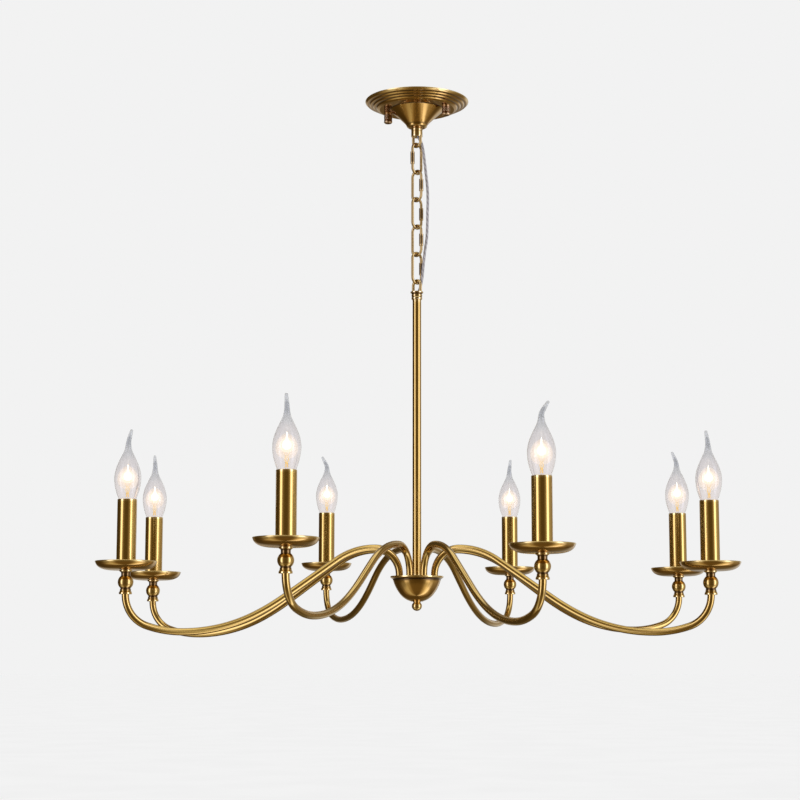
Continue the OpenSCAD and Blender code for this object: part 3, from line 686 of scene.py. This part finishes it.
ribbed = [(4.7, COLLAR_TOP, 0.4), (8.9, COLLAR_TOP, 0.6), (8.9, COLLAR_TOP - 2.0, 0.6)]
for rib in range(3):
    z = COLLAR_TOP - rib * RIB_PITCH
    ribbed += [(7.5, z - 0.7 - (1.6 if rib == 0 else 0), 0.6), (7.5, z - 3.0, 0.6), (6.9, z - 3.5, 0.3)]
ribbed += [(6.8, STEM_TOP, 0.4), (2.7, STEM_TOP), (2.7, COLLAR_TOP - 6, 0.4)]
make(
    "stem_collar_and_loop",
    merged(lathe(ribbed, 72, 0.4, 1.5), moved(wire_u(COLLAR_TOP, 9.0, True), turn=-CHAIN_TURN)),
    wire_brass, "fixture", ["stem_loop"],
)
make(
    "stem_tube",
    lathe([
        (3.2, STEM_TOP), (STEM_R, STEM_TOP), (STEM_R, STEM_END, 0), (4.0, STEM_END - 0.05, 0), (4.0, ROD_END),
        (0, ROD_END), (0, HUB_Z), (3.2, HUB_Z, 0),
    ], 48, 0.3, 6.0),
    drawn_brass, "fixture", ["stem"],
)

# ---- hub ----

BOWL_END = HUB_Z - 34.5
# shares of the bowl's radius and of its depth
BOWL_CURVE = [
    (1, 0), (0.965, 0.13), (0.915, 0.27), (0.855, 0.41), (0.775, 0.56), (0.675, 0.71), (0.555, 0.84),
    (0.42, 0.94),
]


def bowl_line(r, z, h):
    """The bowl's side below its band, r wide at the height z and h deep."""
    curve = smooth_line([(a, 0, b) for a, b in BOWL_CURVE], 3)
    return [(r * point[0], z - h * point[2], 0) for point in curve]


bowl_outside = [
    (31.05, HUB_Z, 0.3), (36.3, HUB_Z, 0.5), (36.3, HUB_Z - 1.9, 0.6), (35.6, HUB_Z - 2.45, 0.6),
    (33.4, HUB_Z - 3.8, 0.8), (33.0, HUB_Z - 5.0, 0.5), (32.85, HUB_Z - 5.5, 0.3),
]
bowl_outside += bowl_line(32.5, HUB_Z - 5.9, 28.1)
bowl_outside += [(9.0, BOWL_END + 0.4, 0.3), (8.2, BOWL_END, 0.3), (4.05, BOWL_END, 0)]
bowl_inside = [(4.05, BOWL_END + 2.1, 0)]
bowl_inside += bowl_line(30.5, HUB_Z - 5.6, 26.3)[::-1]
bowl_inside += [(30.5, HUB_Z - 4.6, 0), (31.05, HUB_Z - 4.5, 0)]
make(
    "hub_bowl_shell", lathe(bowl_outside + bowl_inside, 112, 0.4, 2.2), spun_brass, "fixture",
    ["hub_bowl"],
)

ball = [(5.3, BOWL_END - 0.05, 0), (5.5, BOWL_END - 0.9, 0.3), (4.7, BOWL_END - 1.6, 0.3)]
ball += [
    (7.0 * math.cos(a), BOWL_END - 6.28 + 6.58 * math.sin(a), 0) for a in np.radians(np.linspace(44, -86, 27))
]
ball += [(0, BOWL_END - 12.86), (0, BOWL_END - 7.2), (4.05, BOWL_END - 7.2, 0), (4.05, BOWL_END - 0.05, 0)]
make("ball_finial", lathe(ball, 56, 0.3, 1.2), turned_brass, "finial_knob", ["finial"])

# ---- arms ----

CANDLE_R, CUP_BOTTOM, ARM_TUBE_R = 409.0, 42.5, 4.75
ARM_TURNS = [21.8, 69.0, 110.4, 159.0, 204.4, 248.0, 291.0, 337.5]
SIDE_PAN, END_PAN = HUB_Z + 14.0, HUB_Z + 29.0
PAN_Z = [
    SIDE_PAN + 4.4, END_PAN + 1.0, END_PAN + 7.5, SIDE_PAN - 1.8,
    SIDE_PAN - 1.6, END_PAN + 0.7, END_PAN - 6.5, SIDE_PAN - 1.9,
]
SIDE_ARMS = (1, 4, 5, 8)
# radius of the rise from the hub, and the crest's height over the hub's rim
SIDE_RISE, END_RISE = (35.0, 37.0), (37.5, 40.0)


def arm_line(pan_z, rise_r, crest_rise):
    """The middle of an arm's tube in its own plane, from the hub's plate up into the cup."""
    root_x, middle_r, lower_r, belly_r, hook_r = 26.0, 320.0, 230.0, 150.0, 42.0
    slope, low_slope, belly_turn = 34.0, 26.0, 18.0
    sin, cos = lambda d: math.sin(math.radians(d)), lambda d: math.cos(math.radians(d))
    crest_x, crest_z = root_x + rise_r, HUB_Z + crest_rise
    hook_x, hook_z = CANDLE_R - hook_r, pan_z - CUP_BOTTOM
    belly_x = hook_x + (hook_r - belly_r) * sin(belly_turn)
    belly_z = hook_z - (hook_r - belly_r) * cos(belly_turn)
    lower_z = belly_z - belly_r + lower_r
    middle_x = belly_x - (lower_r - middle_r) * sin(low_slope)
    middle_z = lower_z - (lower_r - middle_r) * cos(low_slope)
    slope_x, slope_z = middle_x - middle_r * sin(slope), middle_z - middle_r * cos(slope)
    drop = (slope_x - crest_x) * math.tan(math.radians(slope)) - crest_z + slope_z
    fall_r = drop / (1 / cos(slope) - 1)
    line = [(root_x, HUB_Z - 0.5)]
    line += arc(crest_x, crest_z - rise_r, rise_r, 180, 90, 2.6)
    line += arc(crest_x, crest_z - fall_r, fall_r, 90, 90 - slope, 3.5)[1:]
    from_x, from_z = line[-1]
    line += [
        (from_x + (slope_x - from_x) * k / 8, from_z + (slope_z - from_z) * k / 8) for k in range(1, 8)
    ]
    line += arc(middle_x, middle_z, middle_r, 270 - slope, 270 - low_slope, 6.0)
    line += arc(belly_x, lower_z, lower_r, 270 - low_slope, 270, 6.0)[1:]
    line += arc(belly_x, belly_z, belly_r, 270, 270 + belly_turn, 5.0)[1:]
    line += arc(hook_x, hook_z, hook_r, 270 + belly_turn, 360, 3.0)[1:]
    return [(x, 0, z) for x, z in line] + [(CANDLE_R, 0, hook_z + 6.0)]


for i, (turn, pan_z) in enumerate(zip(ARM_TURNS, PAN_Z), 1):
    rise = SIDE_RISE if i in SIDE_ARMS else END_RISE
    tube = sweep(arm_line(pan_z, *rise), ARM_TUBE_R, 26, flat=(0, 1, 0))
    make(f"arm_{i}_tube", moved(tube, turn=turn), drawn_brass, "fixture", [f"arm_{i}"])

# ---- cups, drip pans and candle sleeves ----

CUP_BALL_R = 10
PAN_R, PAN_DEPTH, PAN_WALL = 39.2, 12.0, 1.2
SLEEVE_R, SLEEVE_BORE, SLEEVE_RISE = 12.5, 11.5, 79.0


def cup():
    """A turned cup: collar, neck, ball and flared skirt. Heights are below the pan's rim."""
    profile = [
        (3.0, -4.0), (4.7, -4.0, 0.3), (4.7, -12.0, 0), (8.2, -12.0, 0.3), (8.2, -13.4, 0.5), (6.4, -14.4, 0.5),
        (5.9, -15.6, 0.8), (5.9, -17.4, 0.6),
    ]
    for a in np.radians(np.linspace(53, -48, 21)):
        profile.append((CUP_BALL_R * math.cos(a), -27 + CUP_BALL_R * math.sin(a), 0))
    profile += [
        (6.3, -35.3, 0.4), (7.0, -36.0, 0.4), (6.9, -36.9, 0.4), (7.3, -38.6, 1.5), (8.3, -40.4, 0.5),
        (8.3, -42.3, 0.4), (7.9, -CUP_BOTTOM, 0.2), (4.8, -CUP_BOTTOM, 0), (4.8, -36.0, 0), (3.0, -36.0, 0),
    ]
    return lathe(profile, 56, 0.4, 1.6)


def drip_pan():
    """A spun dish with a rolled rim. Heights are from its rim."""
    def line(r, h):
        return [
            (r * (0.44 + 0.56 * math.sin(a)), -h + h * (1 - math.cos(a)) ** 1.15, 0)
            for a in np.radians(np.linspace(0, 90, 22))
        ]

    floor_z = PAN_WALL - PAN_DEPTH
    outside = [p for p in line(PAN_R, PAN_DEPTH) if p[1] < -1.9]
    rim = [(38.5 + math.cos(a), -1.0 + math.sin(a), 0) for a in np.radians(np.linspace(-50, 215, 15))]
    inside = [p for p in line(PAN_R - PAN_WALL, -floor_z) if p[1] < -2.0][::-1]
    return lathe([(4.8, -PAN_DEPTH, 0)] + outside + rim + inside + [(4.8, floor_z, 0)], 96, 0.4, 2.4)


CUP, PAN = cup(), drip_pan()
SLEEVE = lathe([
    (SLEEVE_BORE, PAN_WALL - PAN_DEPTH), (SLEEVE_R, PAN_WALL - PAN_DEPTH), (SLEEVE_R, SLEEVE_RISE, 0.45),
    (SLEEVE_BORE, SLEEVE_RISE, 0.4),
], 64, 0.3, 3.5)

candles = []
for turn, pan_z in zip(ARM_TURNS, PAN_Z):
    a = math.radians(turn)
    candles.append((CANDLE_R * math.cos(a), CANDLE_R * math.sin(a), pan_z))

for i, at in enumerate(candles, 1):
    make(f"cup_{i}", moved(CUP, at), turned_brass, "fixture", ["arm_cups"] if i == 1 else [])
    make(f"pan_{i}", moved(PAN, at), spun_brass, "fixture", [f"drip_pan_{i}"])
    make(f"sleeve_{i}", moved(SLEEVE, at), drawn_brass, "fixture", [f"candle_sleeve_{i}"])

# ---- bulbs: heights are above the pan's rim ----

GLASS_LINE = [
    (6.5, 67), (7.9, 71), (11.3, 79.5), (14.0, 87), (16.1, 95.5), (17.1, 104.7), (16.5, 113), (14.0, 122.2),
    (9.7, 132), (5.9, 140), (4.5, 144.6), (3.4, 151.6), (2.7, 160.6), (1.9, 168.2),
]
GLASS_WALL, HOLLOW_END, HOLLOW_TAPER = 0.7, 164.0, 5.0
BEND_START, BEND_RUN = 147.5, 13.0      # where the tip starts to bend, and over what height
TAIL_TURNS = [180, 20, 190, 120, 20, 250, 5, 200]
TAIL_BENDS = [11, 4, 14, 5, 7, 5, 16, 5]
WIRE_TURN = 20.0


def glass_envelope(turn, bend):
    """The outer and the inner wall of the clear glass. Its drawn-out tip bends over like a flame."""
    line = smooth_line(GLASS_LINE, 5)
    radii, heights = line[:, 0], line[:, 1]
    heading = np.array([math.cos(math.radians(turn)), math.sin(math.radians(turn)), 0.0])
    centres, at, angle = [], np.array([0.0, 0.0, heights[0]]), 0.0
    for k in range(len(heights)):
        if k:
            step = heights[k] - heights[k - 1]
            share = min(1.0, max(0.0, (heights[k] - BEND_START) / BEND_RUN))
            angle = math.radians(2 * bend) * share * share * (3 - 2 * share)
            at = at + step * (heading * math.sin(angle) + np.array([0, 0, math.cos(angle)]))
        centres.append(at)
    tip = heading * math.sin(angle) + np.array([0, 0, math.cos(angle)])
    r = radii[-1]
    for a in np.radians([30, 55, 75, 88]):
        centres.append(at + tip * r * math.sin(a))
        radii = np.append(radii, r * math.cos(a))
    outside = sweep(centres, radii, 40)
    keep = heights <= HOLLOW_END
    taper = np.clip((HOLLOW_END - heights[keep]) / HOLLOW_TAPER, 0.05, 1.0)
    inner_r = (radii[:len(heights)][keep] - GLASS_WALL) * taper
    inside = sweep(np.array(centres)[:len(heights)][keep], inner_r, 40)
    inside["faces"] = [f[::-1] for f in inside["faces"]]
    return outside, inside


def joined_glass(outside, inside, sides=40):
    """The two walls as one closed shell, with an open foot whose edges are joined."""
    n = len(outside["points"])
    both = merged(outside, inside)
    foot = {n - 2, n + len(inside["points"]) - 2}
    kept = [f for f in both["faces"] if not foot & set(f)]
    kept += [(k, (k + 1) % sides, n + (k + 1) % sides, n + k) for k in range(sides)]
    used = sorted({i for f in kept for i in f})
    new = {old: i for i, old in enumerate(used)}
    faces = [[new[i] for i in f] for f in kept]
    return shape(both["points"][used], faces, both["grain"][used], both["tone"][used])


def screw_thread(a, r, z):
    """An Edison thread between the cap's ends; its tone darkens the grooves as painted shade and lightens the
    crests.
    """
    if r < 6.0 or not 49.5 < z < 64.0:
        return r, 0.0
    wave = math.sin(a + 2 * math.pi * z / 2.8)
    return r + 0.22 * wave, 0.25 * wave


SCREW_CAP = lathe([
    (6.0, 66.9), (6.75, 66.9, 0.2), (6.6, 64.4, 0.2), (6.55, 48.6, 0.5), (5.4, 47.4, 0.5), (0, 47.4), (0, 60.0),
    (6.0, 60.0, 0),
], 40, 0.3, 0.5, screw_thread)
INSULATOR = lathe([(0, 47.6), (5.3, 47.6), (3.9, 46.0), (0, 46.0)], 32, 0.3, 2.0)
CONTACT = lathe([(0, 46.2), (3.6, 46.2), (3.2, 45.2, 0.5), (0, 45.05)], 28, 0.3, 2.0)
CAP = merged((SCREW_CAP, 0), (INSULATOR, 1), (CONTACT, 2))
GLASS_STEM = lathe([
    (0, 66.0), (4.4, 66.0), (4.1, 70.0, 0), (2.7, 75.0, 0), (2.1, 81.0, 0), (2.4, 85.5, 0), (1.5, 88.0, 0.5),
    (0, 88.2),
], 28, 0.3, 1.5)


def filament_wires():
    """Two lead wires that spread from the glass stem, and a slim anchor wire between them."""
    parts = []
    for side in (-1, 1):
        line = smooth_line([
            (side * 1.0, 0, 82), (side * 0.7, 0, 87), (side * 2.2, 0, 91), (side * 1.4, 0, 95),
            (side * 3.6, 0, 101), (side * 3.4, 0, 108),
        ], 5)
        parts.append(sweep(line, 0.42, 10))
    parts.append(sweep(smooth_line([(0, 0.2, 86), (0.1, 0.2, 100), (0, 0.1, 112), (0.3, 0, 124)], 5), 0.28, 10))
    return merged(*parts)


def filament_coil():
    """The lit coil, hung in a loop between the lead wires."""
    turns, coil_r, wire_r, points = 26, 0.55, 0.18, []
    for k in range(turns * 8 + 1):
        t = k / (turns * 8)
        a = 2 * math.pi * turns * t
        x = -3.5 + 7.0 * t
        z = 106.0 + 9.5 * math.sin(math.pi * t)
        points.append((x, coil_r * math.sin(a), z + coil_r * math.cos(a)))
    return sweep(points, wire_r, 6)


def ellipsoid(r, h, z, sides=32, rings=18):
    """A closed round blob that narrows upwards, like a flame."""
    profile = [(0.0, z - h)]
    for k in range(1, rings):
        a = -math.pi / 2 + math.pi * k / rings
        profile.append((r * math.cos(a) * (1 - 0.16 * math.sin(a)), z + h * math.sin(a), 0))
    return lathe(profile + [(0.0, z + h)], sides, 0.0, 50.0)


WIRES = moved(filament_wires(), (0, 0, 0), WIRE_TURN)
COIL = moved(filament_coil(), (0, 0, 0), WIRE_TURN)
SPIKE = lathe([(0, 112), (2.2, 114.0, 0), (1.1, 118.0, 0), (0.55, 122.0, 0), (0, 125.0)], 20, 0.0, 50.0)
GLOW = merged(
    (ellipsoid(5.6, 6.2, 109.0), 0), (SPIKE, 0), (ellipsoid(8.6, 9.0, 108.6), 1),
    (ellipsoid(11.0, 12.0, 108.0), 2), (ellipsoid(13.2, 15.0, 107.0), 2),
)

for i, at in enumerate(candles, 1):
    lamp = f"lamp_{i}"
    envelope = joined_glass(*glass_envelope(TAIL_TURNS[i - 1], TAIL_BENDS[i - 1]))
    make(f"bulb_{i}_glass", moved(envelope, at), glass, lamp, [f"bulb_{i}"])
    make(
        f"bulb_{i}_cap", moved(CAP, at), [cap_brass, black_glass, steel], lamp, [f"bulb_base_{i}"]
    )
    make(f"bulb_{i}_stem", moved(GLASS_STEM, at), glass, lamp)
    make(f"bulb_{i}_wires", moved(WIRES, at), lit_gold, lamp)
    make(f"bulb_{i}_filament", moved(COIL, at), white_hot, lamp)
    make(f"bulb_{i}_glow", moved(GLOW, at), [white_hot, glow_near, glow_far], lamp)

# ---- CAD pieces whose shape is right: a better finish ----

for name, material in (
    ("ceiling_bracket", steel), ("bracket_studs", steel), ("arm_nuts", steel), ("hub_plate", spun_brass),
    ("lamp_holders", porcelain),
):
    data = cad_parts[name].data
    data.materials.clear()
    data.materials.append(material)

# ---- studio ----

PALE, MIRRORED_STRENGTH = 0.888, 5.6
FLOOR_HALF, FLOOR_Z = 150.0, -2.4       # metres

# what the metal mirrors: soft boxes round the horizon, as (degrees from the front, level)
BOXES = [
    (-180, 0.022), (-168, 0.085), (-150, 0.006), (-94, 0.005), (-73, 0.03), (-60, 0.54), (-50, 0.47),
    (-36, 0.05), (-10, 0.016), (16, 0.016), (34, 0.05), (46, 0.14), (54, 0.62), (66, 0.62), (78, 0.12),
    (104, 0.085), (136, 0.05), (150, 0.14), (162, 0.10), (180, 0.022),
]
# below the horizon the light comes from both sides of the floor
SIDES = [
    (-180, 0.012), (-122, 0.014), (-104, 0.05), (-88, 0.11), (-72, 0.13), (-56, 0.04), (-24, 0.026),
    (30, 0.026), (56, 0.08), (74, 0.24), (82, 0.40), (91, 0.32), (101, 0.08), (118, 0.04), (134, 0.012),
    (180, 0.012),
]
# how strong each of them is by height, from straight down (0) to straight up (1), and a lid over both
BAND = [(0.0, 0.04), (0.18, 0.12), (0.38, 0.85), (0.5, 1.0), (0.70, 0.8), (0.9, 0.2), (1.0, 0.1)]
DEEP = [(0.0, 0.7), (0.05, 1.0), (0.13, 1.0), (0.22, 0.45), (0.33, 0.10), (0.44, 0.0), (1.0, 0.0)]
LID = [
    (0.0, 0.01), (0.16, 0.008), (0.36, 0.008), (0.5, 0.008), (0.72, 0.012), (0.88, 0.02), (0.935, 0.22),
    (0.965, 0.22), (1.0, 0.04),
]


def warm(level):
    """White in the middle of the range, tanned where it's dark and cool where it's brightest."""
    full, cool = min(1.0, level / 0.12), min(1.0, max(0.0, (level - 0.12) / 0.24))
    green, blue = 0.66 + 0.34 * full - 0.05 * cool, 0.20 + 0.66 * full + 0.24 * cool
    return level * (1 - 0.06 * cool), level * green, level * blue


def studio_world():
    """A plain pale studio. What the metal mirrors has tall soft boxes with darker ground between them."""
    world = bpy.data.worlds.new("studio")
    bpy.context.scene.world = world
    world.use_nodes = True
    tree = world.node_tree
    tree.nodes.clear()

    def add(kind, **values):
        node = tree.nodes.new(kind)
        for key, value in values.items():
            setattr(node, key, value)
        return node

    def ramp(value, stops):
        node = add("ShaderNodeValToRGB")
        node.color_ramp.interpolation = "EASE"
        e = node.color_ramp.elements
        for k, (at, level) in enumerate(stops):
            spot = e[0] if k == 0 else e[-1] if k == len(stops) - 1 else e.new(at)
            spot.position = at
            spot.color = (*warm(level), 1)
        tree.links.new(value, node.inputs["Fac"])
        return node.outputs["Color"]

    direction = add("ShaderNodeTexCoord").outputs["Generated"]
    parts = add("ShaderNodeSeparateXYZ")
    tree.links.new(direction, parts.inputs["Vector"])
    flip = add("ShaderNodeMath", operation="MULTIPLY")
    flip.inputs[1].default_value = -1.0
    tree.links.new(parts.outputs["Y"], flip.inputs[0])
    azimuth = add("ShaderNodeMath", operation="ARCTAN2")
    tree.links.new(parts.outputs["X"], azimuth.inputs[0])
    tree.links.new(flip.outputs["Value"], azimuth.inputs[1])
    turn = add("ShaderNodeMapRange")
    turn.inputs["From Min"].default_value, turn.inputs["From Max"].default_value = -math.pi, math.pi
    tree.links.new(azimuth.outputs["Value"], turn.inputs["Value"])
    height = add("ShaderNodeMapRange")
    height.inputs["From Min"].default_value, height.inputs["From Max"].default_value = -1.0, 1.0
    tree.links.new(parts.outputs["Z"], height.inputs["Value"])

    def round_ramp(stops):
        return ramp(turn.outputs["Result"], [((degrees + 180) / 360, level) for degrees, level in stops])

    boxes = round_ramp(BOXES)
    band = ramp(height.outputs["Result"], BAND)
    sides = round_ramp(SIDES)
    deep = ramp(height.outputs["Result"], DEEP)
    lid = ramp(height.outputs["Result"], LID)

    def mixed(how, a, b):
        node = add("ShaderNodeMix", data_type="RGBA", blend_type=how)
        node.inputs[0].default_value = 1.0
        tree.links.new(a, node.inputs[6])
        tree.links.new(b, node.inputs[7])
        return node.outputs[2]

    total = mixed("ADD", mixed("MULTIPLY", boxes, band), mixed("MULTIPLY", sides, deep))
    total = mixed("ADD", total, lid)
    mirrored = add("ShaderNodeBackground")
    mirrored.inputs["Strength"].default_value = MIRRORED_STRENGTH
    tree.links.new(total, mirrored.inputs["Color"])
    plain = add("ShaderNodeBackground")
    plain.inputs["Color"].default_value = (PALE, PALE, PALE, 1)
    # only what a surface mirrors is striped; what is seen through the glass stays plain
    ray = add("ShaderNodeLightPath")
    bounced = add("ShaderNodeMath", operation="SUBTRACT", use_clamp=True)
    tree.links.new(ray.outputs["Is Glossy Ray"], bounced.inputs[0])
    tree.links.new(ray.outputs["Is Transmission Ray"], bounced.inputs[1])
    mix = add("ShaderNodeMixShader")
    tree.links.new(bounced.outputs["Value"], mix.inputs["Fac"])
    tree.links.new(plain.outputs["Background"], mix.inputs[1])
    tree.links.new(mirrored.outputs["Background"], mix.inputs[2])
    tree.links.new(mix.outputs["Shader"], add("ShaderNodeOutputWorld").inputs["Surface"])


def studio_floor():
    m = Nodes("studio_floor")
    tint = m.noise(m.place(), 0.8, 2.0)
    m.link(m.ramp(tint, (0.3, (0.80, 0.80, 0.80)), (0.7, (0.82, 0.82, 0.82))), m.shader.inputs["Base Color"])
    m.set(Roughness=1.0, Specular_IOR_Level=0.0, Emission_Color=(1, 1, 1, 1), Emission_Strength=0.165)
    return m.material


studio_world()
mesh = bpy.data.meshes.new("floor")
corners = [(-1, -1), (1, -1), (1, 1), (-1, 1)]
mesh.from_pydata([(FLOOR_HALF * x, FLOOR_HALF * y, FLOOR_Z) for x, y in corners], [], [(0, 1, 2, 3)])
floor = bpy.data.objects.new("floor", mesh)
bpy.context.scene.collection.objects.link(floor)
mesh.materials.append(studio_floor())
floor.visible_glossy = False
